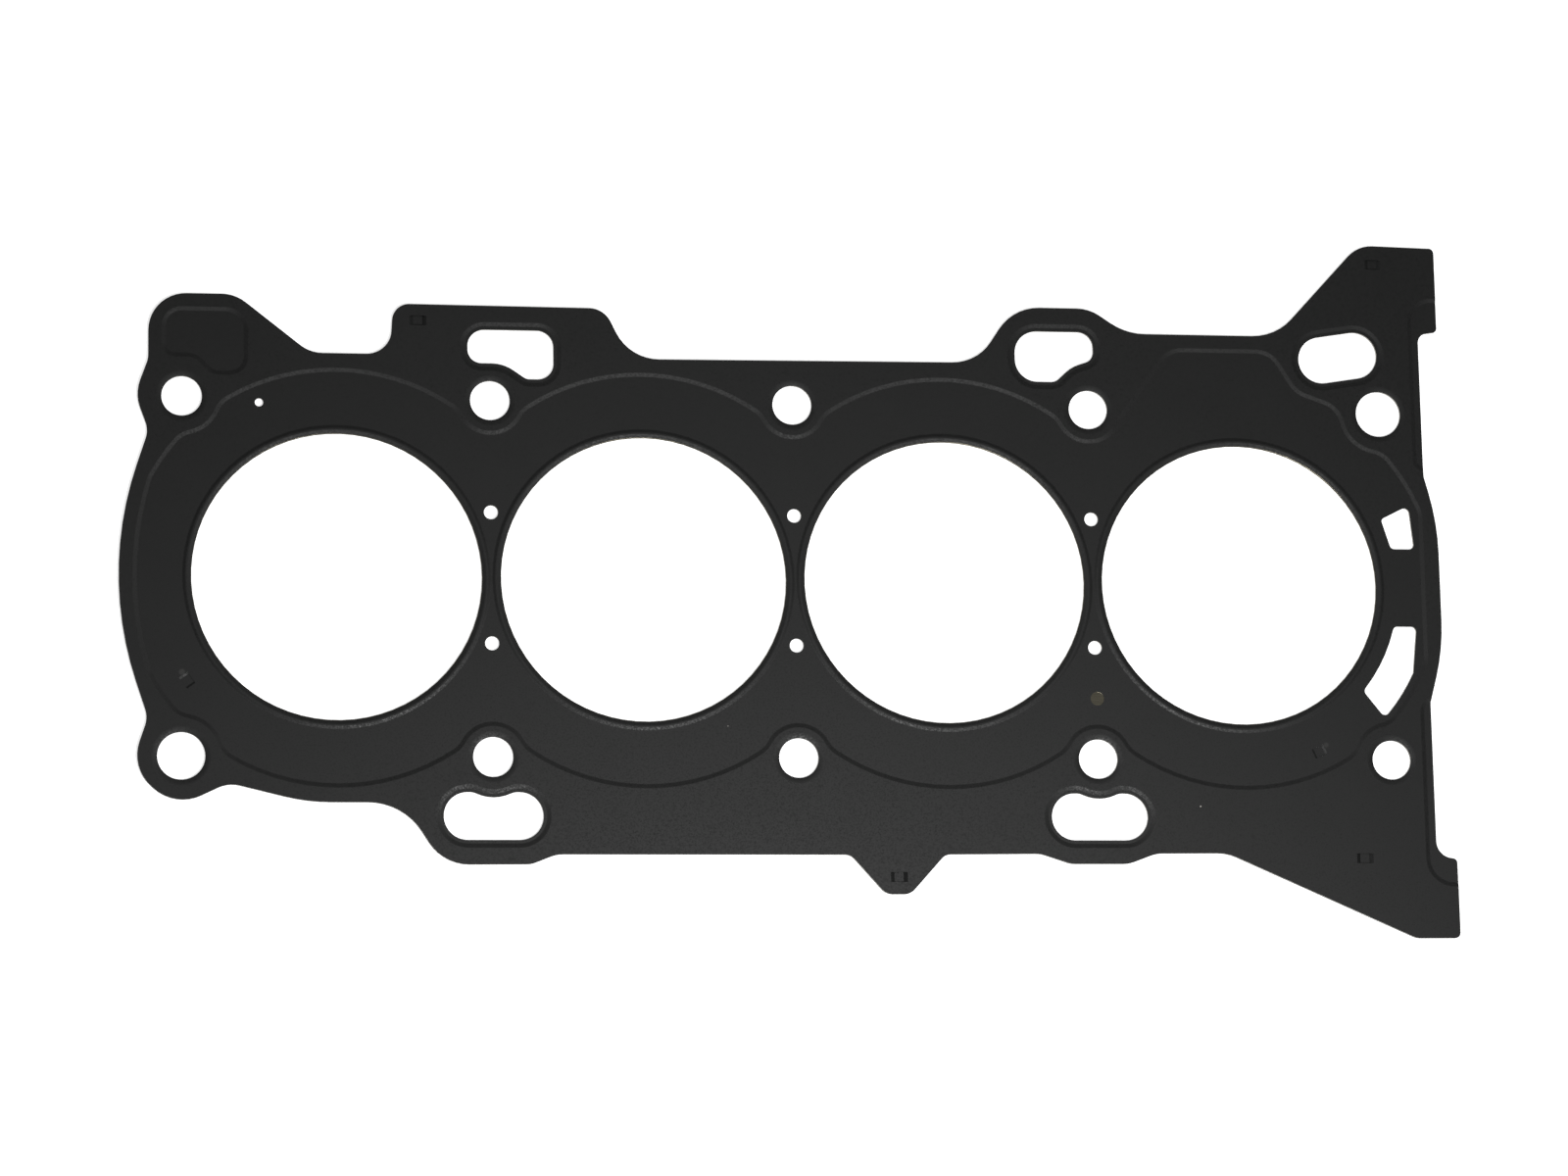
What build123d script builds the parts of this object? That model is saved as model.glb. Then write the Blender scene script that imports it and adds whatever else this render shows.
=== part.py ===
"""Cylinder head gasket for an in-line four-cylinder engine, lying flat.

Three steel sheets lie on one another: a coated, beaded sheet on each outer face and a plain
bare spacer sheet between them. The origin is the centre of the ten head bolts, on the
underside. +X runs along the cylinder row towards the timing end, +Y towards the side with the
small jacket vent, and +Z towards the cylinder head. All lengths are millimetres.
"""
import os
from math import acos, asin, atan2, cos, degrees, radians, sin, sqrt

from build123d import *

os.makedirs("parts", exist_ok=True)

# Cylinder row and head bolts
cylinder_count = 4
bore_r = 45.0
bridge_width = 6.0
cylinder_pitch = 2 * bore_r + bridge_width
bolt_row_y = 56.3
cylinder_xs = [(i - (cylinder_count - 1) / 2) * cylinder_pitch for i in range(cylinder_count)]
bolt_xs = [(i - cylinder_count / 2) * cylinder_pitch for i in range(cylinder_count + 1)]
first_x = bolt_xs[0]
left_x = bolt_xs[1]
middle_x = bolt_xs[2]
right_x = bolt_xs[-2]
last_x = bolt_xs[-1]
first_bore_x = cylinder_xs[0]
last_bore_x = cylinder_xs[-1]

# Sheets, and how far their beads stand
beaded_sheet = 0.25
spacer_sheet = 0.4
half_bead_rise = 0.24
half_bead_run = 0.9
bore_bead_rise = 0.24
bore_bead_width = 2.4
bore_bead_crest = 0.5

# Round holes
bore_lip_setback = 0.2
bolt_hole_r = 6.25
dowel_hole_r = 7.35
web_hole_r = 2.2
web_hole_y = 20.7
vent_hole_r = 1.3
sight_hole_r = 2.2
sight_hole = (right_x + 0.3, -37.0)
vent_hole = (first_x + 23.9, bolt_row_y - 1.7)

# Beads: the foot of each lip on its high side, measured from the edge it follows
lip_width = 2.2
dowel_lip_width = 1.6
dish_overrun = 0.1
jacket_width = 20.8
bolt_seal_r = 9.9
end_bolt_seal_r = 11.2
dowel_seal_r = 12.0
jacket_blend_r = 9.0
edge_land = 4.4

# Rounded left end, concentric with its stretch of the jacket bead
end_arc_r = 109.0
end_arc_reach = 19.2
end_arc_y = 0.5
end_corner_rise = 44.9
end_corner_gap = 0.6

# Clinch tabs
tab_length = 5.4
tab_width = 3.1
tab_flat = 2.9
slit = 0.08

# Heights: the low parts of both beaded sheets lie against the spacer
spacer_bottom_z = beaded_sheet + half_bead_rise
spacer_top_z = spacer_bottom_z + spacer_sheet
total_height = spacer_top_z + half_bead_rise + beaded_sheet
over = 5.0


def above(dy):
    """Y of a point that lies dy outside the +Y bolt row."""
    return bolt_row_y + dy


def below(dy):
    """Y of a point that lies dy outside the -Y bolt row."""
    return -bolt_row_y - dy


def rounded_face(corners):
    """Face inside a closed run of (x, y, corner radius), with tangent arcs at the corners."""
    points = [(x, y) for x, y, _ in corners]
    with BuildSketch() as shape:
        with BuildLine():
            Polyline(*points, close=True)
        make_face()
        for x, y, radius in corners:
            if radius > 0:
                fillet(shape.vertices().sort_by_distance((x, y))[0], radius)
    return shape.sketch


# Outline, clockwise from the rounded left end, whose two corners stand just outside its arc
end_arc_x = first_x - end_arc_reach + end_arc_r
end_corner_r = end_arc_r + end_corner_gap
end_corner_x = end_arc_x - sqrt(end_corner_r ** 2 - end_corner_rise ** 2)
end_arc_half_angle = asin(end_corner_rise / end_corner_r) - acos(end_arc_r / end_corner_r)
end_arc_tip_x = end_arc_x - end_arc_r / cos(end_arc_half_angle)
outline_corners = [
    (end_arc_tip_x, end_arc_y, end_arc_r),
    (end_corner_x, end_arc_y + end_corner_rise, 8),
    (first_x - 14.4, above(0.5), 13),
    (first_x - 10.3, above(11.7), 8),
    (first_x - 10.3, above(32.6), 11.8),
    (first_x + 16.6, above(32.6), 12),
    (left_x - 56.2, above(14.3), 11),
    (left_x - 31.2, above(14.3), 8),
    (left_x - 30.2, above(30.5), 5.4),
    (left_x + 36.4, above(30.2), 7.5),
    (left_x + 44.3, above(14.0), 15),
    (right_x - 35.8, above(14.8), 15.5),
    (right_x - 23.5, above(33.1), 15.9),
    (right_x + 1.4, above(33.1), 13.5),
    (right_x + 13.2, above(25.1), 20),
    (last_x - 33.2, above(25.1), 18.4),
    (last_x - 4.6, above(55.8), 10.9),
    (last_x + 20.8, above(55.2), 1.6),
    (last_x + 20.8, above(27.5), 1.5),
    (last_x + 14.4, above(26.6), 3.2),
    (last_x + 14.4, above(-20.3), 5),
    (last_x + 18.4, above(-35.3), 80),
    (last_x + 18.4, below(-35.8), 70),
    (last_x + 13.7, below(-18.8), 5),
    (last_x + 13.7, below(31.1), 5.5),
    (last_x + 20.4, below(31.6), 1.5),
    (last_x + 20.4, below(57.0), 1.8),
    (last_x + 6.0, below(57.0), 6),
    (last_x - 55.0, below(29.9), 15),
    (right_x + 18.0, below(30.0), 10),
    (right_x + 9.0, below(33.3), 10),
    (right_x - 9.8, below(33.3), 8),
    (right_x - 19.5, below(30.1), 10),
    (middle_x + 46.0, below(30.3), 4),
    (middle_x + 34.6, below(42.8), 4.5),
    (middle_x + 26.8, below(42.8), 5),
    (middle_x + 15.8, below(30.4), 4),
    (left_x + 19.5, below(30.3), 10),
    (left_x + 11.5, below(33.4), 8),
    (left_x - 15.8, below(33.5), 14.7),
    (left_x - 28.0, below(14.2), 19.7),
    (first_x + 38.5, below(14.2), 60),
    (first_x + 14.4, below(8.3), 10),
    (first_x - 1.8, below(16.0), 13.2),
    (first_x - 15.5, below(3.7), 13.2),
    (end_corner_x, end_arc_y - end_corner_rise, 8),
]
outline = rounded_face(outline_corners)

# Oil drain and feed openings
drain_length = 31.0
drain_width = 14.9
drain_y = below(18.4)
drain_notch_r = 12.6
drain_corner_r = 5.0
drains = []
for drain_x in (left_x, right_x):
    with BuildSketch() as drain:
        with Locations((drain_x, drain_y)):
            SlotOverall(drain_length, drain_width)
        with Locations((drain_x, below(0))):
            Circle(drain_notch_r, mode=Mode.SUBTRACT)
        fillet(drain.vertices().group_by(Axis.Y)[-1], drain_corner_r)
    drains.append(drain.sketch)

left_feed = rounded_face([
    (left_x - 6.9, above(22.7), 5.3),
    (left_x + 20.2, above(22.7), 5.3),
    (left_x + 20.2, above(7.0), 5.2),
    (left_x + 11.6, above(7.0), 3),
    (left_x + 4.5, above(11.9), 12),
    (left_x - 6.9, above(11.9), 4.4),
])
right_feed = rounded_face([
    (right_x - 23.4, above(25.4), 7.2),
    (right_x + 2.2, above(25.4), 5),
    (right_x + 2.2, above(16.3), 3.6),
    (right_x - 5.0, above(13.9), 12),
    (right_x - 10.4, above(8.9), 3.6),
    (right_x - 23.4, above(8.9), 7.2),
])
end_feed_length = 26.2
end_feed_width = 15.2
end_feed_tilt = 9.0
with BuildSketch() as end_feed_shape:
    with Locations((last_x - 12.8, above(18.4))):
        SlotOverall(end_feed_length, end_feed_width, rotation=end_feed_tilt)
end_feed = end_feed_shape.sketch

# Coolant slots at the timing end, concentric with the last cylinder
slot_inner_r = bore_r + 7.2
slot_width = 10.8
slot_top_width = 7.5
slot_top_y = -13.1
slot_side_angle = -26.5
slot_inner_end_angle = -40.7
slot_outer_end_angle = -42.6
slot_corner_r = 1.6
slot_outer_r = slot_inner_r + slot_width
slot_top_angle = degrees(asin(slot_top_y / slot_inner_r))
slot_side_x = last_bore_x + sqrt(slot_inner_r ** 2 - slot_top_y ** 2) + slot_top_width
with BuildSketch() as lower_slot_shape:
    with BuildLine():
        inner_arc = CenterArc((last_bore_x, 0), slot_inner_r, slot_inner_end_angle,
                              slot_top_angle - slot_inner_end_angle)
        outer_arc = CenterArc((last_bore_x, 0), slot_outer_r, slot_outer_end_angle,
                              slot_side_angle - slot_outer_end_angle)
        Polyline(inner_arc @ 1, (slot_side_x, slot_top_y), outer_arc @ 1)
        Line(outer_arc @ 0, inner_arc @ 0)
    make_face()
    for corner in (inner_arc @ 0, inner_arc @ 1, (slot_side_x, slot_top_y), outer_arc @ 0):
        fillet(lower_slot_shape.vertices().sort_by_distance(corner)[0], slot_corner_r)
lower_slot = lower_slot_shape.sketch
upper_slot = rounded_face([
    (last_x - 0.4, 21.8, 1.2),
    (last_x + 8.9, 26.4, 1.7),
    (last_x + 10.3, 12.1, slot_corner_r),
    (last_x + 2.6, 12.1, slot_corner_r),
])
shaped_openings = [*drains, left_feed, right_feed, end_feed, lower_slot, upper_slot]

# Oil and coolant seals: a low lip round each hole and opening
inner_bolts = [(x, side * bolt_row_y) for x in bolt_xs[1:-1] for side in (-1, 1)]
end_bolts = [(first_x, bolt_row_y), (last_x, -bolt_row_y)]
dowels = [(first_x, -bolt_row_y), (last_x, bolt_row_y)]
bolts = inner_bolts + end_bolts


def round_lip(centre, radius):
    """Round low area about one hole."""
    with BuildSketch() as lip:
        with Locations(centre):
            Circle(radius)
    return lip.sketch


def opening_lip(opening):
    """Low area that follows the edge of one shaped opening."""
    with BuildSketch() as lip:
        add(opening)
        offset(amount=lip_width)
    return lip.sketch


lips = [opening_lip(opening) for opening in (*drains, left_feed, right_feed, end_feed)]
bolt_dishes = [round_lip(centre, bolt_hole_r + lip_width) for centre in bolts]
dowel_dishes = [round_lip(centre, dowel_hole_r + dowel_lip_width) for centre in dowels]

# Blind pad in the corner beyond the first upper bolt
corner_pad = rounded_face([
    (first_x - 6.0, above(28.2), 6),
    (first_x + 20.3, above(28.2), 7),
    (first_x + 20.3, above(7.1), 5.5),
    (first_x + 9.5, above(7.1), 5),
    (first_x + 3.8, above(12.6), 5),
    (first_x - 6.0, above(12.6), 4),
])

# Low strips along the timing end, clear of the bulge between them
strip_reach_x = last_x + 30.0
lower_strip = rounded_face([
    (last_x + 10.3, below(-19.8), 4),
    (strip_reach_x, below(-19.8), 0),
    (strip_reach_x, below(40.3), 0),
    (last_x + 10.3, below(40.3), 8.8),
])
upper_strip = rounded_face([
    (last_x + 11.2, above(-18.0), 3),
    (last_x + 11.2, above(38.4), 8),
    (strip_reach_x, above(38.4), 0),
    (strip_reach_x, above(-18.0), 0),
])

# Water jacket field inside the main bead: a circle round each cylinder, a wider field at the
# timing end, and a bite round every bolt and dowel
jacket_fill_y = 50.0
jacket_right_x = last_x + 13.2
field_end = rounded_face([
    (right_x + 2.0, above(-12.0), 0),
    (right_x + 8.2, above(-4.8), 4),
    (right_x + 27.0, above(20.5), 7),
    (last_x - 35.0, above(20.5), 9),
    (last_x - 26.8, above(7.3), 8),
    (last_x - 4.0, above(-0.9), 0),
    (last_x - 4.0, above(-16.3), 0),
])
seals = [(centre, bolt_seal_r) for centre in inner_bolts]
seals += [(centre, end_bolt_seal_r) for centre in end_bolts]
seals += [(centre, dowel_seal_r) for centre in dowels]
with BuildSketch() as end_limits:
    with Locations((end_arc_x, 0)):
        Circle(end_arc_r - edge_land)
    with Locations((end_arc_x, 0)):
        Rectangle(jacket_right_x - end_arc_x, 2 * end_arc_r, align=(Align.MIN, Align.CENTER))
with BuildSketch() as jacket_field:
    with Locations([(x, 0) for x in cylinder_xs]):
        Circle(bore_r + jacket_width)
    Rectangle(last_bore_x - first_bore_x, 2 * jacket_fill_y)
    add(field_end)
    add(end_limits.sketch, mode=Mode.INTERSECT)
    for centre, radius in seals:
        with Locations(centre):
            Circle(radius, mode=Mode.SUBTRACT)
    offset(amount=-jacket_blend_r)
    offset(amount=jacket_blend_r)
low_areas = [jacket_field.sketch, corner_pad, lower_strip, upper_strip, *lips]

# One beaded sheet, its low parts standing on z = 0
bead_taper = degrees(atan2(half_bead_run, half_bead_rise))
bolt_dish_taper = degrees(atan2(lip_width + dish_overrun, half_bead_rise))
dowel_dish_taper = degrees(atan2(dowel_lip_width + dish_overrun, half_bead_rise))
bead_inner_r = bore_r + bore_lip_setback
bead_outer_r = bead_inner_r + bore_bead_width
crest_inner_r = (bead_inner_r + bead_outer_r - bore_bead_crest) / 2
crest_outer_r = crest_inner_r + bore_bead_crest
sheet_height = half_bead_rise + beaded_sheet
web_holes = [(x, side * web_hole_y) for x in bolt_xs[1:-1] for side in (-1, 1)]

formed_areas = [
    (low_areas, bead_taper),
    (bolt_dishes, bolt_dish_taper),
    (dowel_dishes, dowel_dish_taper),
]

# Everything that passes through all three sheets, the bores apart
with BuildSketch() as through_holes_shape:
    with Locations(bolts):
        Circle(bolt_hole_r)
    with Locations(dowels):
        Circle(dowel_hole_r)
    with Locations(web_holes):
        Circle(web_hole_r)
    with Locations(vent_hole):
        Circle(vent_hole_r)
    add(shaped_openings)
through_holes = through_holes_shape.sketch

with BuildPart() as formed_sheet:
    with BuildSketch(Plane.XY.offset(half_bead_rise)):
        add(outline)
    extrude(amount=beaded_sheet)
    for top_z, mode in ((half_bead_rise, Mode.ADD), (sheet_height, Mode.SUBTRACT)):
        for areas, taper in formed_areas:
            for area in areas:
                with BuildSketch(Plane.XY.offset(top_z)):
                    add(area)
                extrude(amount=-half_bead_rise, taper=taper, mode=mode)
    for x in cylinder_xs:
        with Locations((x, 0, sheet_height / 2)):
            Cylinder(bead_outer_r, 2 * sheet_height, mode=Mode.SUBTRACT)
        with BuildSketch(Plane(origin=(x, 0, 0), x_dir=(1, 0, 0), z_dir=(0, -1, 0))):
            with BuildLine():
                Polyline((bead_inner_r, 0), (crest_inner_r, bore_bead_rise),
                         (crest_outer_r, bore_bead_rise), (bead_outer_r, 0),
                         (bead_outer_r, beaded_sheet),
                         (crest_outer_r, bore_bead_rise + beaded_sheet),
                         (crest_inner_r, bore_bead_rise + beaded_sheet),
                         (bead_inner_r, beaded_sheet), close=True)
            make_face()
        revolve(axis=Axis((x, 0, 0), (0, 0, 1)))
    with BuildSketch():
        add(through_holes)
    extrude(amount=sheet_height, mode=Mode.SUBTRACT)
    with BuildSketch():
        add(outline)
    extrude(amount=sheet_height, mode=Mode.INTERSECT)

# Clinches that hold the sheets together: (x, y, direction, in the low jacket field)
clinches = [
    (left_x - 22.5, above(25.3), 0, False),
    (last_x + 0.1, above(49.5), 0, False),
    (middle_x + 31.1, below(37.4), 0, False),
    (last_x - 10.0, below(31.5), 0, False),
    (first_x + 1.8, below(-23.4), -54.6, True),
    (last_x - 23.7, below(-2.7), 24.3, True),
]


def clinch_windows(bottom_z, top_z):
    """Straight-sided windows at the clinches, between two heights."""
    with BuildPart() as windows:
        for x, y, direction, _ in clinches:
            with Locations(Location((x, y, (bottom_z + top_z) / 2), (0, 0, direction))):
                Box(tab_length, tab_width, top_z - bottom_z)
    return windows.part


def clinch_tabs(thickness, end_z, flat_z):
    """Pressed-down bridges that stay joined at both ends; heights are for (high, low) areas."""
    with BuildPart() as tabs:
        for x, y, direction, is_low in clinches:
            end = end_z[is_low]
            flat = flat_z[is_low]
            along = (cos(radians(direction)), sin(radians(direction)), 0)
            across = (along[1], -along[0], 0)
            side = Plane(origin=(x, y, 0), x_dir=along, z_dir=across)
            with BuildSketch(side):
                with BuildLine():
                    Polyline((-tab_length / 2, end), (-tab_flat / 2, flat), (tab_flat / 2, flat),
                             (tab_length / 2, end), (tab_length / 2, end + thickness),
                             (tab_flat / 2, flat + thickness), (-tab_flat / 2, flat + thickness),
                             (-tab_length / 2, end + thickness), close=True)
                make_face()
            extrude(amount=tab_width / 2 - slit, both=True)
    return tabs.part


# Underside of the lower sheet, where a tab comes level: on the block face or in the low field
seat_z = (0.0, half_bead_rise)

with BuildPart() as upper_bead_layer:
    with Locations((0, 0, spacer_top_z)):
        add(formed_sheet.part)
    with Locations((*sight_hole, total_height)):
        Cylinder(sight_hole_r, 2 * sheet_height, mode=Mode.SUBTRACT)
    add(clinch_windows(spacer_top_z - over, total_height + over), mode=Mode.SUBTRACT)
    add(clinch_tabs(beaded_sheet, (spacer_top_z + half_bead_rise, spacer_top_z),
                    (seat_z[0] + spacer_sheet, seat_z[1] + spacer_sheet)))
upper_bead_layer.part.label = "upper_bead_layer"
export_step(upper_bead_layer.part, "parts/upper_bead_layer.step")

with BuildPart() as spacer_layer:
    with BuildSketch(Plane.XY.offset(spacer_bottom_z)):
        add(outline)
        add(through_holes, mode=Mode.SUBTRACT)
        with Locations([(x, 0) for x in cylinder_xs]):
            Circle(bore_r, mode=Mode.SUBTRACT)
    extrude(amount=spacer_sheet)
    add(clinch_windows(spacer_bottom_z - over, spacer_top_z + over), mode=Mode.SUBTRACT)
    add(clinch_tabs(spacer_sheet, (spacer_bottom_z, spacer_bottom_z), seat_z))
spacer_layer.part.label = "spacer_layer"
export_step(spacer_layer.part, "parts/spacer_layer.step")

with BuildPart() as lower_bead_layer:
    with Locations((0, 0, spacer_bottom_z)):
        add(mirror(formed_sheet.part, about=Plane.XY, mode=Mode.PRIVATE))
    add(clinch_windows(-over, spacer_bottom_z + over), mode=Mode.SUBTRACT)
lower_bead_layer.part.label = "lower_bead_layer"
export_step(lower_bead_layer.part, "parts/lower_bead_layer.step")
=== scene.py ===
"""Looks of a cylinder head gasket: its three sheets of steel, their finishes, and a plain studio.

The two outer sheets are formed again from the modelled ones, with rounded folds at their beads.
The spacer sheet between them keeps its modelled shape. Lengths are metres, in the frame's own
axes: +X along the cylinders, +Z up out of the face that the camera looks down on.
"""
from math import copysign, cos, hypot, radians, sin

import bmesh
import bpy
from bpy.props import FloatProperty, FloatVectorProperty, PointerProperty
from mathutils import Matrix, Vector


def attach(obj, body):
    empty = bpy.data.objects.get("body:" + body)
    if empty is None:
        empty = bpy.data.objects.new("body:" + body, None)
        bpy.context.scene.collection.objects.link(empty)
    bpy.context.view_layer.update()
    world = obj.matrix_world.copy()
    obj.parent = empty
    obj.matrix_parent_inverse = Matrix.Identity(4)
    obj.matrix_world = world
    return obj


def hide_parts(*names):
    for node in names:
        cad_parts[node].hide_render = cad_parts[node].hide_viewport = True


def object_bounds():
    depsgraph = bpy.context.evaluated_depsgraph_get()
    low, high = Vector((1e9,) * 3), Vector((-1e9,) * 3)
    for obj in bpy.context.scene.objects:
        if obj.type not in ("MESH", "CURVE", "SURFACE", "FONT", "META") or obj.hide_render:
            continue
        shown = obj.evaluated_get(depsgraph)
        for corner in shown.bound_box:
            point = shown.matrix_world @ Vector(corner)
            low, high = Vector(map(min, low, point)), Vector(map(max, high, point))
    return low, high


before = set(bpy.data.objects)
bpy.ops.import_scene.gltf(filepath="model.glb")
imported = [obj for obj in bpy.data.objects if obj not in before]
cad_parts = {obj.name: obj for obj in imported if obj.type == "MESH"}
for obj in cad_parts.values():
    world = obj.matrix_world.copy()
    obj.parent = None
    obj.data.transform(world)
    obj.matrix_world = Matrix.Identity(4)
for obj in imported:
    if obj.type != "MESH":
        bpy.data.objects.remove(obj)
cad_low, cad_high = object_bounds()
middle = (cad_low.z + cad_high.z) / 2

bl_info = {
    "name": "Cylinder Head Gasket",
    "version": (1, 0, 0),
    "blender": (4, 5, 0),
    "location": "3D View > Sidebar > Gasket",
    "description": "Forms and finishes the sheets of a layered steel cylinder head gasket",
    "category": "Object",
}

# ---------------------------------------------------------------- places on the gasket

BORE_PITCH = 0.096
BOLT_ROW = 0.0563
BORES = [(steps * BORE_PITCH, 0.0) for steps in (-1.5, -0.5, 0.5, 1.5)]
INNER_BOLTS = [(x, y) for x in (-BORE_PITCH, 0.0, BORE_PITCH) for y in (-BOLT_ROW, BOLT_ROW)]
BOLTS = [*INNER_BOLTS, (-2 * BORE_PITCH, BOLT_ROW), (2 * BORE_PITCH, -BOLT_ROW)]
DOWELS = [(-2 * BORE_PITCH, -BOLT_ROW), (2 * BORE_PITCH, BOLT_ROW)]

# Clinches in the high rim and in the low field of the jacket: (x, y, direction of the tab)
RIM_CLINCHES = [
    (-0.1185, 0.0816, 0.0),
    (0.1921, 0.1058, 0.0),
    (0.0311, -0.0937, 0.0),
    (0.182, -0.0878, 0.0),
]
JACKET_CLINCHES = [
    (-0.1902, -0.0329, radians(-54.6)),
    (0.1683, -0.0536, radians(24.3)),
]
CLINCHES = RIM_CLINCHES + JACKET_CLINCHES

# Pale marks on the top face: dust, and coating rubbed beside two clinches (x, y, radius, colour)
DUST = (0.35, 0.34, 0.31)
PALE_MARKS = [
    (-0.0223, -0.0463, 0.00033, DUST),
    (0.1287, -0.0713, 0.0003, DUST),
    (-0.1918, -0.0303, 0.0012, (0.021, 0.021, 0.02)),
    (0.1706, -0.0515, 0.001, (0.016, 0.016, 0.015)),
]

# ---------------------------------------------------------------- forming

# Round areas of the ridges at the bores, of the lips at the bolt and dowel holes, and of the
# clinch tabs: centres, reach
RIDGES = [(BORES, 0.0485)]
LIPS = [(BOLTS, 0.0086), (DOWELS, 0.0091)]
TABS = [([(x, y) for x, y, _ in CLINCHES], 0.0033)]

# Round folds that are pressed a little further in or out than modelled: centres, radius, new radius
PRESSED_RINGS = [
    (BOLTS, 0.00845, 0.00725),
    (DOWELS, 0.00895, 0.00835),
    (BORES, 0.04615, 0.04635),
    (BORES, 0.04665, 0.0469),
    (BORES, 0.0476, 0.04775),
]

# Clinch tabs: half their width as modelled and as sheared, with no gap beside them, and half
# their length as modelled and as pressed, with steeper ends
TAB_SIDE = 0.00147
TAB_SHEARED_SIDE = 0.001545
TAB_END = 0.0027
TAB_PRESSED_END = 0.0021

# How far a vertex may lie from the ring or line on which it is looked for
SLACK = 0.00004

# Upward part of a face's normal: most for a punched edge, least for what a fold joins, and the
# range for the slope of a half-bead step
UPRIGHT = 0.3
FLAT_ENOUGH = 0.8
STEP_SLOPE = (0.95, 0.98)

# Angle between the two faces of a fold, and the segments that round it
LEAST_FOLD = radians(4.0)
MOST_FOLD = radians(40.0)
FOLD_SEGMENTS = 4

# Cleaning of the meshes, and their shading: the highest weight lets the largest faces decide
MERGE_DISTANCE = 0.000002
SAME_PLANE = radians(0.3)
SHARP_ANGLE = radians(30.0)
LARGEST_FIRST = 100

# ---------------------------------------------------------------- finishes

# Noise textures: scale, detail, roughness
MOTTLE = (55.0, 3.0, 0.6)
SHEEN_GRAIN = (1900.0, 2.0, 0.6)
BUMP_GRAIN = (4200.0, 1.0, 0.5)
ROLLED_GRAIN = (220.0, 3.0, 0.6)
ROLLED_STRETCH = (1.0, 24.0, 1.0)

# Noise values that count as the lowest and the highest, in broad patterns and in the fine one
BROAD_NOISE = (0.3, 0.7)
FINE_NOISE = (0.25, 0.75)

# Masks: upward part of the normal where an edge is all bare and where it is all coated, the part
# of a spot's radius inside which it is full, and the radius of the painted shade round a clinch
BARE_TO_COATED = (0.35, 0.55)
SPOT_CORE = 0.6
CLINCH_REACH = 0.0042

# Coating: how far its colour and roughness vary, what cut edges and the cut edges in the clinches
# (painted shade: they keep the coating's dark colour) add to the roughness, how metallic a cut edge
# is, the specular level of the rubber, and the strength of its bump
MOTTLE_AMOUNT = 0.14
SHEEN_AMOUNT = 0.17
CUT_ROUGHNESS = -0.12
SHADED_EDGE_ROUGHNESS = 0.4
CUT_METAL = 0.9
COATING_SPECULAR = 0.34
COATING_BUMP = 0.12

# Spacer: how far its colour varies, how much of that is left in the shade of a clinch, the range
# of its roughness, and the strength of its bump
ROLLED_AMOUNT = 0.15
CLINCH_SHADE = 0.06
SPACER_ROUGHNESS = (0.17, 0.23)
SPACER_BUMP = 0.1

# Depth of the bump of both finishes
BUMP_DEPTH = 0.00002

# ---------------------------------------------------------------- stage

# Camera: the photograph's place, aim, level line and focal length
CAMERA_PLACE = (-0.2673, -0.2652, 1.5255)
CAMERA_AIM = (-0.0035, -0.0022, 0.0)
CAMERA_LEVEL = radians(0.54)
CAMERA_FOCAL_PX = 5093.0
CAMERA_CLIP = (0.05, 50.0)
PICTURE_WIDTH_PX = 1600.0
SENSOR_WIDTH_MM = 36.0

# Soft lamp: its place, the point it faces, and its side
KEY_PLACE = (0.107, -0.304, 0.732)
KEY_AIM = (0.0, 0.0, 0.0)
KEY_SIZE = 0.2

# Floor: half its side, its gap below the gasket, its roughness, and its glow where it is seen
FLOOR_HALF = 6.0
FLOOR_GAP = 0.00002
FLOOR_ROUGHNESS = 0.9
FLOOR_GLOW = 0.65

# Room: reflections see white walls up to one height of a direction and a dim ceiling from another,
# where 1 is straight up; the ceiling's brightness; and the low even light on the gasket
WALLS_END = 0.05
CEILING_STARTS = 0.3
CEILING = 0.04
WORLD_FILL = 0.25

WHITE = (1.0, 1.0, 1.0, 1.0)

# Socket types of node groups, and the places of a Mix node's sockets for colours
VECTOR, VALUE = "NodeSocketVector", "NodeSocketFloat"
MIX_FACTOR, MIX_FIRST, MIX_SECOND, MIX_RESULT = 0, 6, 7, 2


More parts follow.
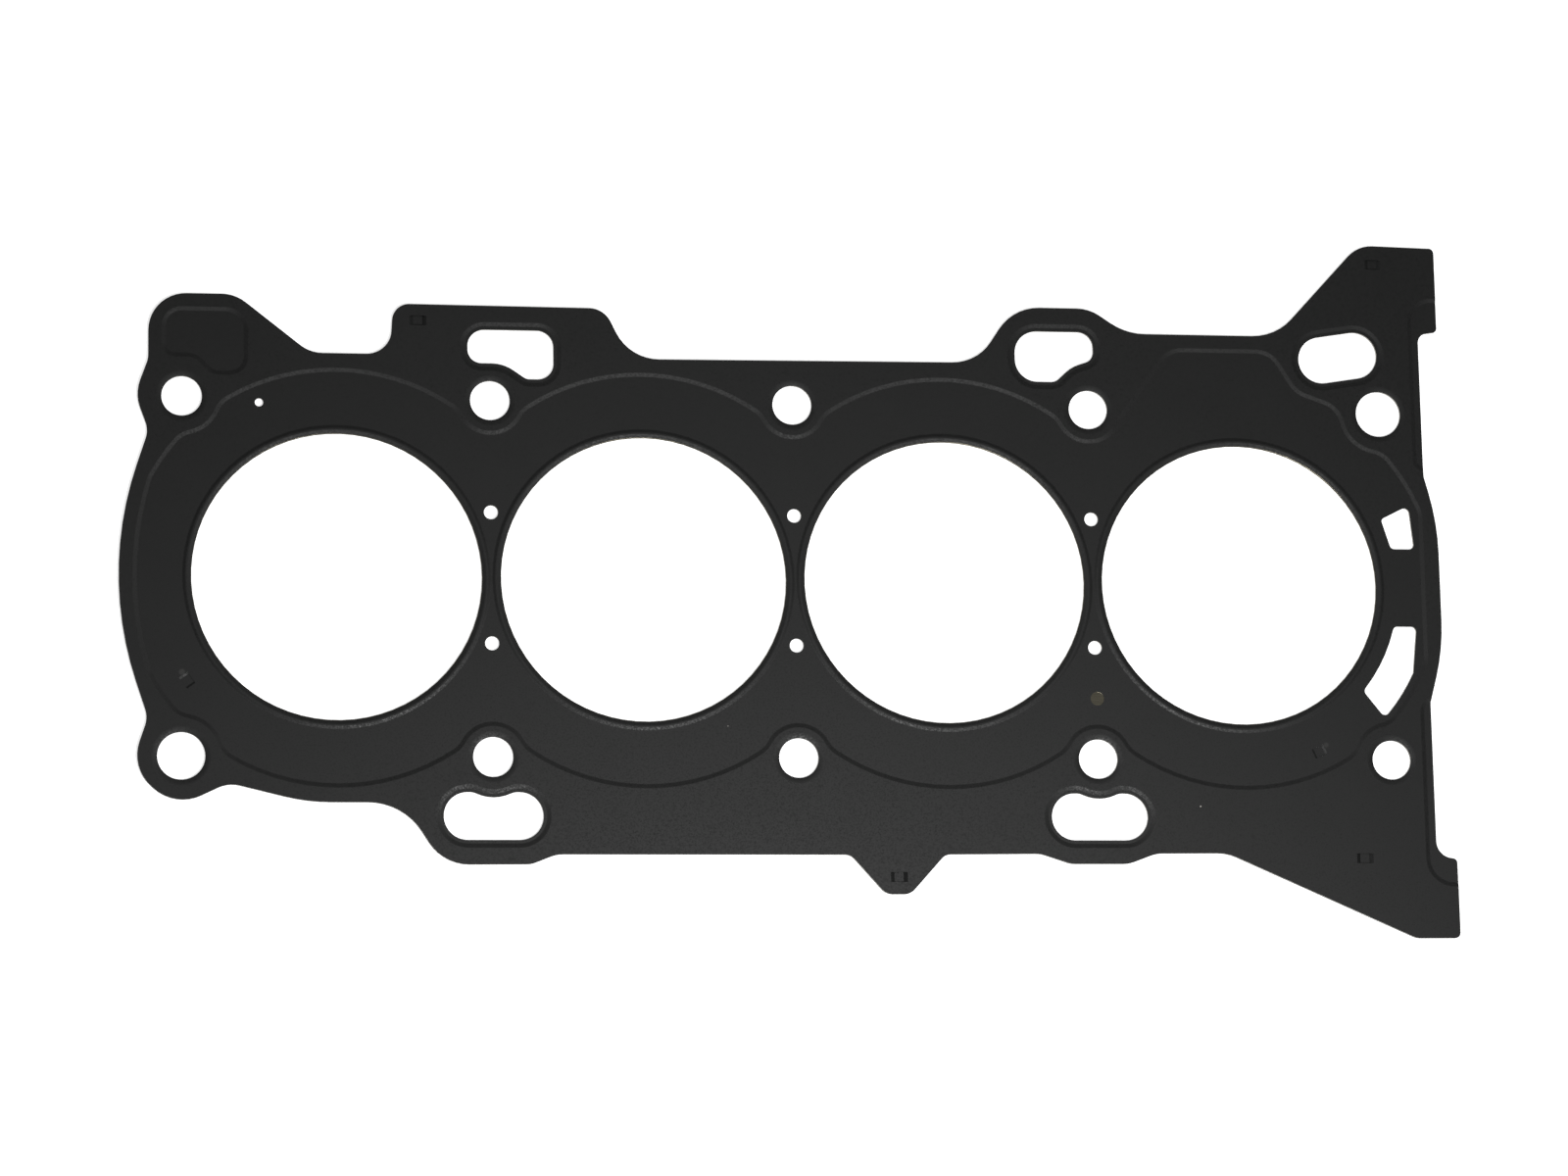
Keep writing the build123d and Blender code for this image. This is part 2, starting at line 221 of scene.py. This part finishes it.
class GasketSettings(bpy.types.PropertyGroup):
    """Sizes and colours of the gasket's finishes and of the studio."""

    coating_colour: FloatVectorProperty(
        name="Coating", description="Rubber coating of the beaded sheets",
        subtype="COLOR", size=3, min=0.0, max=1.0, default=(0.0026, 0.0028, 0.0026))
    coating_roughness: FloatProperty(
        name="Coating roughness", description="Sheen of the coating, 0 for gloss",
        min=0.0, max=1.0, default=0.54, subtype="FACTOR")
    steel_colour: FloatVectorProperty(
        name="Cut steel", description="Bare steel at the cut edges of the coated sheets",
        subtype="COLOR", size=3, min=0.0, max=1.0, default=(0.22, 0.215, 0.205))
    spacer_colour: FloatVectorProperty(
        name="Spacer steel", description="Rolled steel of the bare sheet in the middle",
        subtype="COLOR", size=3, min=0.0, max=1.0, default=(0.20, 0.185, 0.14))
    step_widening: FloatProperty(
        name="Step widening", description="How far each fold of a step is drawn outward",
        min=0.0, max=0.0004, default=0.0002, subtype="DISTANCE", unit="LENGTH")
    step_round: FloatProperty(
        name="Step rounding", description="How far the folds of the steps are rounded off",
        min=0.0, max=0.0008, default=0.00055, subtype="DISTANCE", unit="LENGTH")
    ridge_round: FloatProperty(
        name="Ridge rounding", description="How far the folds round the bores are rounded off",
        min=0.0, max=0.0003, default=0.00016, subtype="DISTANCE", unit="LENGTH")
    lip_round: FloatProperty(
        name="Lip rounding", description="How far the folds round the bolt holes are rounded off",
        min=0.0, max=0.001, default=0.00095, subtype="DISTANCE", unit="LENGTH")
    floor_colour: FloatVectorProperty(
        name="Floor", description="Plain pale floor",
        subtype="COLOR", size=3, min=0.0, max=1.0, default=(0.9, 0.9, 0.9))
    key_power: FloatProperty(
        name="Key light", description="Power of the soft light in watts",
        min=0.0, max=50.0, default=5.4, subtype="POWER", unit="POWER")


# ---------------------------------------------------------------- nodes


def link(tree, source, target):
    tree.links.new(source, target)


def feed(tree, value, target):
    """Links an output socket to an input, or gives the input a plain value."""
    if isinstance(value, bpy.types.NodeSocket):
        link(tree, value, target)
    else:
        target.default_value = value


def new_group(name, inputs, outputs):
    """Empty shader node group with named sockets: (name, socket type)."""
    group = bpy.data.node_groups.new(name, "ShaderNodeTree")
    for in_out, sockets in (("INPUT", inputs), ("OUTPUT", outputs)):
        for socket_name, kind in sockets:
            group.interface.new_socket(socket_name, in_out=in_out, socket_type=kind)
    enter = group.nodes.new("NodeGroupInput")
    leave = group.nodes.new("NodeGroupOutput")
    return group, enter, leave


def use_group(tree, group, **inputs):
    """Group placed in a tree; each input is a value or an output socket."""
    node = tree.nodes.new("ShaderNodeGroup")
    node.node_tree = group
    for name, value in inputs.items():
        feed(tree, value, node.inputs[name])
    return node


def math_node(tree, operation, first, second=0.0):
    """Math node; each operand is a number or an output socket."""
    node = tree.nodes.new("ShaderNodeMath")
    node.operation = operation
    feed(tree, first, node.inputs[0])
    feed(tree, second, node.inputs[1])
    return node.outputs["Value"]


def remap(tree, value, from_low, from_high, to_low=0.0, to_high=1.0):
    """Map Range node, clamped at both ends."""
    node = tree.nodes.new("ShaderNodeMapRange")
    node.inputs["From Min"].default_value = from_low
    node.inputs["From Max"].default_value = from_high
    node.inputs["To Min"].default_value = to_low
    node.inputs["To Max"].default_value = to_high
    link(tree, value, node.inputs["Value"])
    return node.outputs["Result"]


def noise(tree, vector, scale, detail, roughness):
    node = tree.nodes.new("ShaderNodeTexNoise")
    node.inputs["Scale"].default_value = scale
    node.inputs["Detail"].default_value = detail
    node.inputs["Roughness"].default_value = roughness
    link(tree, vector, node.inputs["Vector"])
    return node.outputs["Fac"]


def mix_colours(tree, factor, first, second):
    """Colour mix; the factor is a socket, each colour is three numbers or a socket."""
    node = tree.nodes.new("ShaderNodeMix")
    node.data_type = "RGBA"
    link(tree, factor, node.inputs[MIX_FACTOR])
    for value, place in ((first, MIX_FIRST), (second, MIX_SECOND)):
        is_socket = isinstance(value, bpy.types.NodeSocket)
        feed(tree, value if is_socket else (*value, 1.0), node.inputs[place])
    return node.outputs[MIX_RESULT]


def varied_colour(tree, pattern, base, amount):
    """Colour that a noise pattern makes darker and lighter by a part of itself."""
    return mix_colours(tree, remap(tree, pattern, *BROAD_NOISE),
                       Vector(base) * (1.0 - amount), Vector(base) * (1.0 + amount))


def add_bump(tree, shader, height, strength):
    """Fine relief of a finish."""
    bump = tree.nodes.new("ShaderNodeBump")
    bump.inputs["Strength"].default_value = strength
    bump.inputs["Distance"].default_value = BUMP_DEPTH
    link(tree, height, bump.inputs["Height"])
    link(tree, bump.outputs["Normal"], shader.inputs["Normal"])


def new_material(name):
    """Material with an empty tree but for its Principled BSDF and output."""
    material = bpy.data.materials.new(name)
    material.use_nodes = True
    tree = material.node_tree
    return material, tree, tree.nodes["Principled BSDF"]


# ---------------------------------------------------------------- shared node groups


def cut_edge_group():
    """Mask of the faces that stand upright: the punched edges, where no coating is left."""
    group, enter, leave = new_group("cut_edge", [("Normal", VECTOR)], [("Mask", VALUE)])
    split = group.nodes.new("ShaderNodeSeparateXYZ")
    link(group, enter.outputs["Normal"], split.inputs["Vector"])
    flatness = math_node(group, "ABSOLUTE", split.outputs["Z"])
    link(group, remap(group, flatness, *BARE_TO_COATED, 1.0, 0.0), leave.inputs["Mask"])
    return group


def coating_grain_group():
    """Slow mottling and fine grain of a sprayed and cured coating."""
    outputs = {"Mottle": MOTTLE, "Grain": SHEEN_GRAIN, "Height": BUMP_GRAIN}
    group, enter, leave = new_group(
        "coating_grain", [("Vector", VECTOR)], [(name, VALUE) for name in outputs])
    for name, texture in outputs.items():
        link(group, noise(group, enter.outputs["Vector"], *texture), leave.inputs[name])
    return group


def near_place_group():
    """Mask of what lies within a radius of a place, with a soft rim."""
    group, enter, leave = new_group(
        "near_place", [("Vector", VECTOR), ("Place", VECTOR), ("Radius", VALUE)],
        [("Mask", VALUE)])
    distance = group.nodes.new("ShaderNodeVectorMath")
    distance.operation = "DISTANCE"
    link(group, enter.outputs["Vector"], distance.inputs[0])
    link(group, enter.outputs["Place"], distance.inputs[1])
    near = math_node(group, "DIVIDE", distance.outputs["Value"], enter.outputs["Radius"])
    link(group, remap(group, near, SPOT_CORE, 1.0, 1.0, 0.0), leave.inputs["Mask"])
    return group


def shared_groups():
    """Node groups that the materials share, made once."""
    makers = {
        "cut_edge": cut_edge_group,
        "coating_grain": coating_grain_group,
        "near_place": near_place_group,
    }
    return {name: bpy.data.node_groups.get(name) or make() for name, make in makers.items()}


def near_mask(tree, groups, vector, place, radius):
    """Mask of what lies near one place."""
    node = use_group(tree, groups["near_place"], Vector=vector, Place=place, Radius=radius)
    return node.outputs["Mask"]


def near_clinches(tree, groups, vector):
    """Mask of the small areas round the clinches, where shade is painted."""
    mask = None
    for x, y, _ in CLINCHES:
        near = near_mask(tree, groups, vector, (x, y, middle), CLINCH_REACH)
        mask = near if mask is None else math_node(tree, "MAXIMUM", mask, near)
    return mask


# ---------------------------------------------------------------- materials


def coated_steel(settings, groups):
    """Satin near-black rubber on the faces and bare steel on cut edges; at the clinches the cut
    edges keep the dark rubber as painted shade.
    """
    material, tree, shader = new_material("coated_steel")
    place = tree.nodes.new("ShaderNodeTexCoord")
    vector = place.outputs["Object"]
    grain = use_group(tree, groups["coating_grain"], Vector=vector)
    upright = use_group(tree, groups["cut_edge"], Normal=place.outputs["Normal"]).outputs["Mask"]
    near_clinch = near_clinches(tree, groups, vector)
    # Painted shade: the cut edges round the clinches keep the coating's dark colour, not bare
    # steel, and are made rougher
    cut = math_node(tree, "MINIMUM", upright, math_node(tree, "SUBTRACT", 1.0, near_clinch))
    shaded_clinch_edge = math_node(tree, "MINIMUM", upright, near_clinch)

    face = varied_colour(tree, grain.outputs["Mottle"], settings.coating_colour, MOTTLE_AMOUNT)
    for x, y, radius, tint in PALE_MARKS:
        mark = near_mask(tree, groups, vector, (x, y, cad_high.z), radius)
        face = mix_colours(tree, mark, face, tint)
    link(tree, mix_colours(tree, cut, face, settings.steel_colour), shader.inputs["Base Color"])

    sheen = remap(tree, grain.outputs["Grain"], *FINE_NOISE,
                  settings.coating_roughness - SHEEN_AMOUNT,
                  settings.coating_roughness + SHEEN_AMOUNT)
    for mask, added in ((cut, CUT_ROUGHNESS), (shaded_clinch_edge, SHADED_EDGE_ROUGHNESS)):
        sheen = math_node(tree, "ADD", sheen, math_node(tree, "MULTIPLY", mask, added))
    link(tree, sheen, shader.inputs["Roughness"])
    link(tree, math_node(tree, "MULTIPLY", cut, CUT_METAL), shader.inputs["Metallic"])
    shader.inputs["Specular IOR Level"].default_value = COATING_SPECULAR
    add_bump(tree, shader, grain.outputs["Height"], COATING_BUMP)
    return material


def bare_steel(settings, groups):
    """Rolled bare steel with a faint grain and a warm storage tint, shaded in the clinches."""
    material, tree, shader = new_material("bare_steel")
    vector = tree.nodes.new("ShaderNodeTexCoord").outputs["Object"]
    stretch = tree.nodes.new("ShaderNodeMapping")
    stretch.inputs["Scale"].default_value = ROLLED_STRETCH
    link(tree, vector, stretch.inputs["Vector"])
    rolled = noise(tree, stretch.outputs["Vector"], *ROLLED_GRAIN)

    clean = varied_colour(tree, rolled, settings.spacer_colour, ROLLED_AMOUNT)
    shaded = Vector(settings.spacer_colour) * CLINCH_SHADE
    colour = mix_colours(tree, near_clinches(tree, groups, vector), clean, shaded)
    link(tree, colour, shader.inputs["Base Color"])
    shader.inputs["Metallic"].default_value = 1.0
    roughness = remap(tree, rolled, *BROAD_NOISE, *SPACER_ROUGHNESS)
    link(tree, roughness, shader.inputs["Roughness"])
    add_bump(tree, shader, rolled, SPACER_BUMP)
    return material


# ---------------------------------------------------------------- forming the beaded sheets


def copy_of_node(node_name, piece_name):
    """New object at the origin with its own copy of a node's mesh, alone selected and active."""
    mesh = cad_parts[node_name].data.copy()
    mesh.name = piece_name
    piece = bpy.data.objects.new(piece_name, mesh)
    bpy.context.scene.collection.objects.link(piece)
    bpy.ops.object.select_all(action="DESELECT")
    piece.select_set(True)
    bpy.context.view_layer.objects.active = piece
    return piece


def lies_in(areas, place):
    """Whether a place lies in one of some round areas: (centres, reach)."""
    return any(hypot(place.x - x, place.y - y) < reach
               for centres, reach in areas for x, y in centres)


def on_an_edge(vertex):
    """Whether a vertex belongs to a punched edge."""
    return any(abs(face.normal.z) < UPRIGHT for face in vertex.link_faces)


def press_rings(sheet):
    """Moves the round folds of the lips and ridges to the radii at which they are pressed."""
    for vertex in sheet.verts:
        if on_an_edge(vertex):
            continue
        for centres, radius, new_radius in PRESSED_RINGS:
            for x, y in centres:
                distance = hypot(vertex.co.x - x, vertex.co.y - y)
                if abs(distance - radius) < SLACK:
                    vertex.co.x = x + (vertex.co.x - x) * new_radius / distance
                    vertex.co.y = y + (vertex.co.y - y) * new_radius / distance


def widen_steps(sheet, amount):
    """Draws both folds of each half-bead step apart, so that its slope runs softer."""
    shifts = {}
    for face in sheet.faces:
        centre = face.calc_center_median()
        is_step = STEP_SLOPE[0] < abs(face.normal.z) < STEP_SLOPE[1]
        if not is_step or lies_in(RIDGES + LIPS, centre):
            continue
        descent = Vector((face.normal.x, face.normal.y, 0.0)).normalized()
        if face.normal.z < 0:
            descent.negate()
        for vertex in face.verts:
            outward = -descent if vertex.co.z > centre.z else descent
            shifts[vertex] = shifts.get(vertex, Vector()) + outward
    for vertex, shift in shifts.items():
        if not on_an_edge(vertex):
            vertex.co += shift.normalized() * amount


def press_tabs(sheet):
    """Shears the clinch tabs with no gap at their sides; those in the jacket end steeply."""
    for clinch in CLINCHES:
        x, y, direction = clinch
        along = Vector((cos(direction), sin(direction), 0.0))
        across = Vector((-along.y, along.x, 0.0))
        for vertex in sheet.verts:
            offset = Vector((vertex.co.x - x, vertex.co.y - y, 0.0))
            far, side = offset.dot(along), offset.dot(across)
            if abs(far) > TAB_END + SLACK or abs(side) > TAB_SIDE + 2 * SLACK:
                continue
            in_upper_sheet = vertex.co.z > middle
            at_end = abs(abs(far) - TAB_END) < SLACK
            if clinch in JACKET_CLINCHES and in_upper_sheet and at_end:
                vertex.co -= along * copysign(TAB_END - TAB_PRESSED_END, far)
            if abs(abs(side) - TAB_SIDE) < SLACK:
                vertex.co += across * copysign(TAB_SHEARED_SIDE - TAB_SIDE, side)


def press_softer(piece, amount):
    """Gives the pressed folds of a sheet their softer run."""
    sheet = bmesh.from_edit_mesh(piece.data)
    sheet.normal_update()
    press_rings(sheet)
    widen_steps(sheet, amount)
    press_tabs(sheet)
    bmesh.update_edit_mesh(piece.data)


def round_folds(piece, amount, belongs):
    """Rounds the folds where a flat turns into a slope, those for whose place belongs is true."""
    bpy.ops.mesh.select_all(action="DESELECT")
    sheet = bmesh.from_edit_mesh(piece.data)
    sheet.normal_update()
    for edge in sheet.edges:
        faces = edge.link_faces
        edge.select = (
            len(faces) == 2
            and all(abs(face.normal.z) > FLAT_ENOUGH for face in faces)
            and LEAST_FOLD < faces[0].normal.angle(faces[1].normal) < MOST_FOLD
            and belongs(edge.verts[0].co)
        )
    sheet.select_flush_mode()
    bmesh.update_edit_mesh(piece.data)
    bpy.ops.mesh.bevel(offset=amount, segments=FOLD_SEGMENTS, clamp_overlap=True)


def join_flats():
    """Turns the loose triangles of a modelled sheet into one skin of flat faces."""
    bpy.ops.mesh.select_mode(type="VERT")
    bpy.ops.mesh.select_all(action="SELECT")
    bpy.ops.mesh.remove_doubles(threshold=MERGE_DISTANCE)
    bpy.ops.mesh.customdata_custom_splitnormals_clear()
    bpy.ops.mesh.dissolve_limited(angle_limit=SAME_PLANE)
    bpy.ops.mesh.select_mode(type="EDGE")


def close_slits():
    """Merges what the shearing and rounding have brought together, at the clinch tabs above all."""
    bpy.ops.mesh.select_all(action="SELECT")
    bpy.ops.mesh.remove_doubles(threshold=MERGE_DISTANCE)
    bpy.ops.mesh.dissolve_degenerate(threshold=MERGE_DISTANCE)


def sharpen_tabs(mesh):
    """Marks the folds of the clinch tabs as sharp, since they are sheared and not rounded."""
    for edge in mesh.edges:
        if all(lies_in(TABS, mesh.vertices[index].co) for index in edge.vertices):
            edge.use_edge_sharp = True


def shade(piece):
    """Shades the rounded folds smoothly, and keeps the flats between them even."""
    bpy.ops.object.shade_smooth_by_angle(angle=SHARP_ANGLE, keep_sharp_edges=False)
    sharpen_tabs(piece.data)
    weighted = piece.modifiers.new("even_flats", "WEIGHTED_NORMAL")
    weighted.mode = "FACE_AREA"
    weighted.weight = LARGEST_FIRST
    weighted.keep_sharp = True
    bpy.ops.object.modifier_apply(modifier=weighted.name)


def formed_sheet(node_name, piece_name, settings, material):
    """Beaded sheet with its folds rounded, in place of the modelled one."""
    piece = copy_of_node(node_name, piece_name)
    bpy.ops.object.mode_set(mode="EDIT")
    join_flats()
    press_softer(piece, settings.step_widening)
    round_folds(piece, settings.ridge_round, lambda place: lies_in(RIDGES, place))
    round_folds(piece, settings.lip_round, lambda place: lies_in(LIPS, place))
    round_folds(piece, settings.step_round, lambda place: not lies_in(RIDGES + LIPS + TABS, place))
    close_slits()
    bpy.ops.object.mode_set(mode="OBJECT")
    shade(piece)
    piece.data.materials.clear()
    piece.data.materials.append(material)
    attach(piece, "root")
    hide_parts(node_name)
    return piece


# ---------------------------------------------------------------- stage


def seen_directly(tree):
    """1 for rays from the camera, or by way of metal or glass, and 0 for light on the object."""
    path = tree.nodes.new("ShaderNodeLightPath")
    metal_or_glass = math_node(tree, "MAXIMUM", path.outputs["Is Glossy Ray"],
                               path.outputs["Is Transmission Ray"])
    return math_node(tree, "MAXIMUM", path.outputs["Is Camera Ray"], metal_or_glass)


def pale_floor(settings):
    """Plain floor that shows as white to the camera, and keeps a little of the shadow."""
    material, tree, shader = new_material("pale_floor")
    shader.inputs["Base Color"].default_value = (*settings.floor_colour, 1.0)
    shader.inputs["Roughness"].default_value = FLOOR_ROUGHNESS
    shader.inputs["Specular IOR Level"].default_value = 0.0
    shader.inputs["Emission Color"].default_value = WHITE
    glow = math_node(tree, "MULTIPLY", seen_directly(tree), FLOOR_GLOW)
    link(tree, glow, shader.inputs["Emission Strength"])
    return material


def add_floor(settings):
    bpy.ops.object.select_all(action="DESELECT")
    bpy.ops.mesh.primitive_plane_add(
        size=2 * FLOOR_HALF, location=(0, 0, cad_low.z - FLOOR_GAP))
    floor = bpy.context.active_object
    floor.name = "floor"
    floor.data.materials.append(pale_floor(settings))


def room_strength(tree):
    """Brightness of the room: white when seen, dim overhead in reflections, low as light."""
    path = tree.nodes.new("ShaderNodeLightPath")
    place = tree.nodes.new("ShaderNodeTexCoord")
    split = tree.nodes.new("ShaderNodeSeparateXYZ")
    link(tree, place.outputs["Generated"], split.inputs["Vector"])
    room = remap(tree, split.outputs["Z"], WALLS_END, CEILING_STARTS, 1.0, CEILING)
    reflected = math_node(tree, "MULTIPLY", path.outputs["Is Glossy Ray"], room)
    direct = math_node(tree, "MAXIMUM", path.outputs["Is Camera Ray"],
                       path.outputs["Is Transmission Ray"])
    return math_node(tree, "MAXIMUM", math_node(tree, "MAXIMUM", direct, reflected), WORLD_FILL)


def add_room(scene):
    world = bpy.data.worlds.new("white_room")
    world.use_nodes = True
    scene.world = world
    tree = world.node_tree
    background = tree.nodes["Background"]
    background.inputs["Color"].default_value = WHITE
    link(tree, room_strength(tree), background.inputs["Strength"])


def look_at(place, aim):
    """Matrix of a lamp at a place that faces a point."""
    direction = Vector(aim) - Vector(place)
    return Matrix.Translation(place) @ direction.to_track_quat("-Z", "Y").to_matrix().to_4x4()


def add_key_light(scene, power):
    lamp = bpy.data.lights.new("key_light", "AREA")
    lamp.shape = "SQUARE"
    lamp.size = KEY_SIZE
    lamp.energy = power
    key = bpy.data.objects.new("key_light", lamp)
    key.matrix_world = look_at(KEY_PLACE, KEY_AIM)
    scene.collection.objects.link(key)


def camera_matrix():
    """Camera at the photograph's place, with its picture's level line turned by CAMERA_LEVEL."""
    place = Vector(CAMERA_PLACE)
    back = (place - Vector(CAMERA_AIM)).normalized()
    level = Vector((cos(CAMERA_LEVEL), sin(CAMERA_LEVEL), 0.0))
    right = (level - back * level.dot(back)).normalized()
    up = back.cross(right)
    turn = Matrix((right, up, back)).transposed().to_4x4()
    return Matrix.Translation(place) @ turn


def add_camera(scene):
    lens = bpy.data.cameras.new("camera")
    lens.sensor_width = SENSOR_WIDTH_MM
    lens.lens = CAMERA_FOCAL_PX / PICTURE_WIDTH_PX * SENSOR_WIDTH_MM
    lens.clip_start, lens.clip_end = CAMERA_CLIP
    camera = bpy.data.objects.new("camera", lens)
    camera.matrix_world = camera_matrix()
    scene.collection.objects.link(camera)
    scene.camera = camera


# ---------------------------------------------------------------- operators and panel


class GASKET_OT_beaded_sheets(bpy.types.Operator):
    """Form and coat the two outer sheets with their beads"""

    bl_idname = "gasket.beaded_sheets"
    bl_label = "Beaded Sheets"

    def execute(self, context):
        settings = context.scene.gasket
        material = coated_steel(settings, shared_groups())
        for node_name, piece_name in (("upper_bead_layer", "upper_formed_sheet"),
                                      ("lower_bead_layer", "lower_formed_sheet")):
            formed_sheet(node_name, piece_name, settings, material)
        return {"FINISHED"}


class GASKET_OT_spacer_sheet(bpy.types.Operator):
    """Finish the bare spacer sheet between the beaded ones"""

    bl_idname = "gasket.spacer_sheet"
    bl_label = "Spacer Sheet"

    def execute(self, context):
        material = bare_steel(context.scene.gasket, shared_groups())
        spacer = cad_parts["spacer_layer"]
        for slot in spacer.material_slots:
            slot.material = material
        return {"FINISHED"}


class GASKET_OT_stage(bpy.types.Operator):
    """Add the plain floor, the white surroundings, the soft light and the camera"""

    bl_idname = "gasket.stage"
    bl_label = "Stage"

    def execute(self, context):
        settings = context.scene.gasket
        scene = context.scene
        scene.view_settings.view_transform = "Standard"
        add_floor(settings)
        add_room(scene)
        add_key_light(scene, settings.key_power)
        add_camera(scene)
        return {"FINISHED"}


class GASKET_PT_panel(bpy.types.Panel):
    """Sidebar panel with the gasket's settings and steps"""

    bl_label = "Cylinder Head Gasket"
    bl_idname = "GASKET_PT_panel"
    bl_space_type = "VIEW_3D"
    bl_region_type = "UI"
    bl_category = "Gasket"

    def draw(self, context):
        layout = self.layout
        settings = context.scene.gasket
        for name in GasketSettings.__annotations__:
            layout.prop(settings, name)
        for operator in STEPS:
            layout.operator(operator.bl_idname)


STEPS = (GASKET_OT_beaded_sheets, GASKET_OT_spacer_sheet, GASKET_OT_stage)
CLASSES = (GasketSettings, *STEPS, GASKET_PT_panel)


def register():
    for cls in CLASSES:
        bpy.utils.register_class(cls)
    bpy.types.Scene.gasket = PointerProperty(type=GasketSettings)


def unregister():
    del bpy.types.Scene.gasket
    for cls in reversed(CLASSES):
        bpy.utils.unregister_class(cls)


def main():
    register()
    bpy.ops.gasket.beaded_sheets()
    bpy.ops.gasket.spacer_sheet()
    bpy.ops.gasket.stage()


if __name__ == "__main__":
    main()
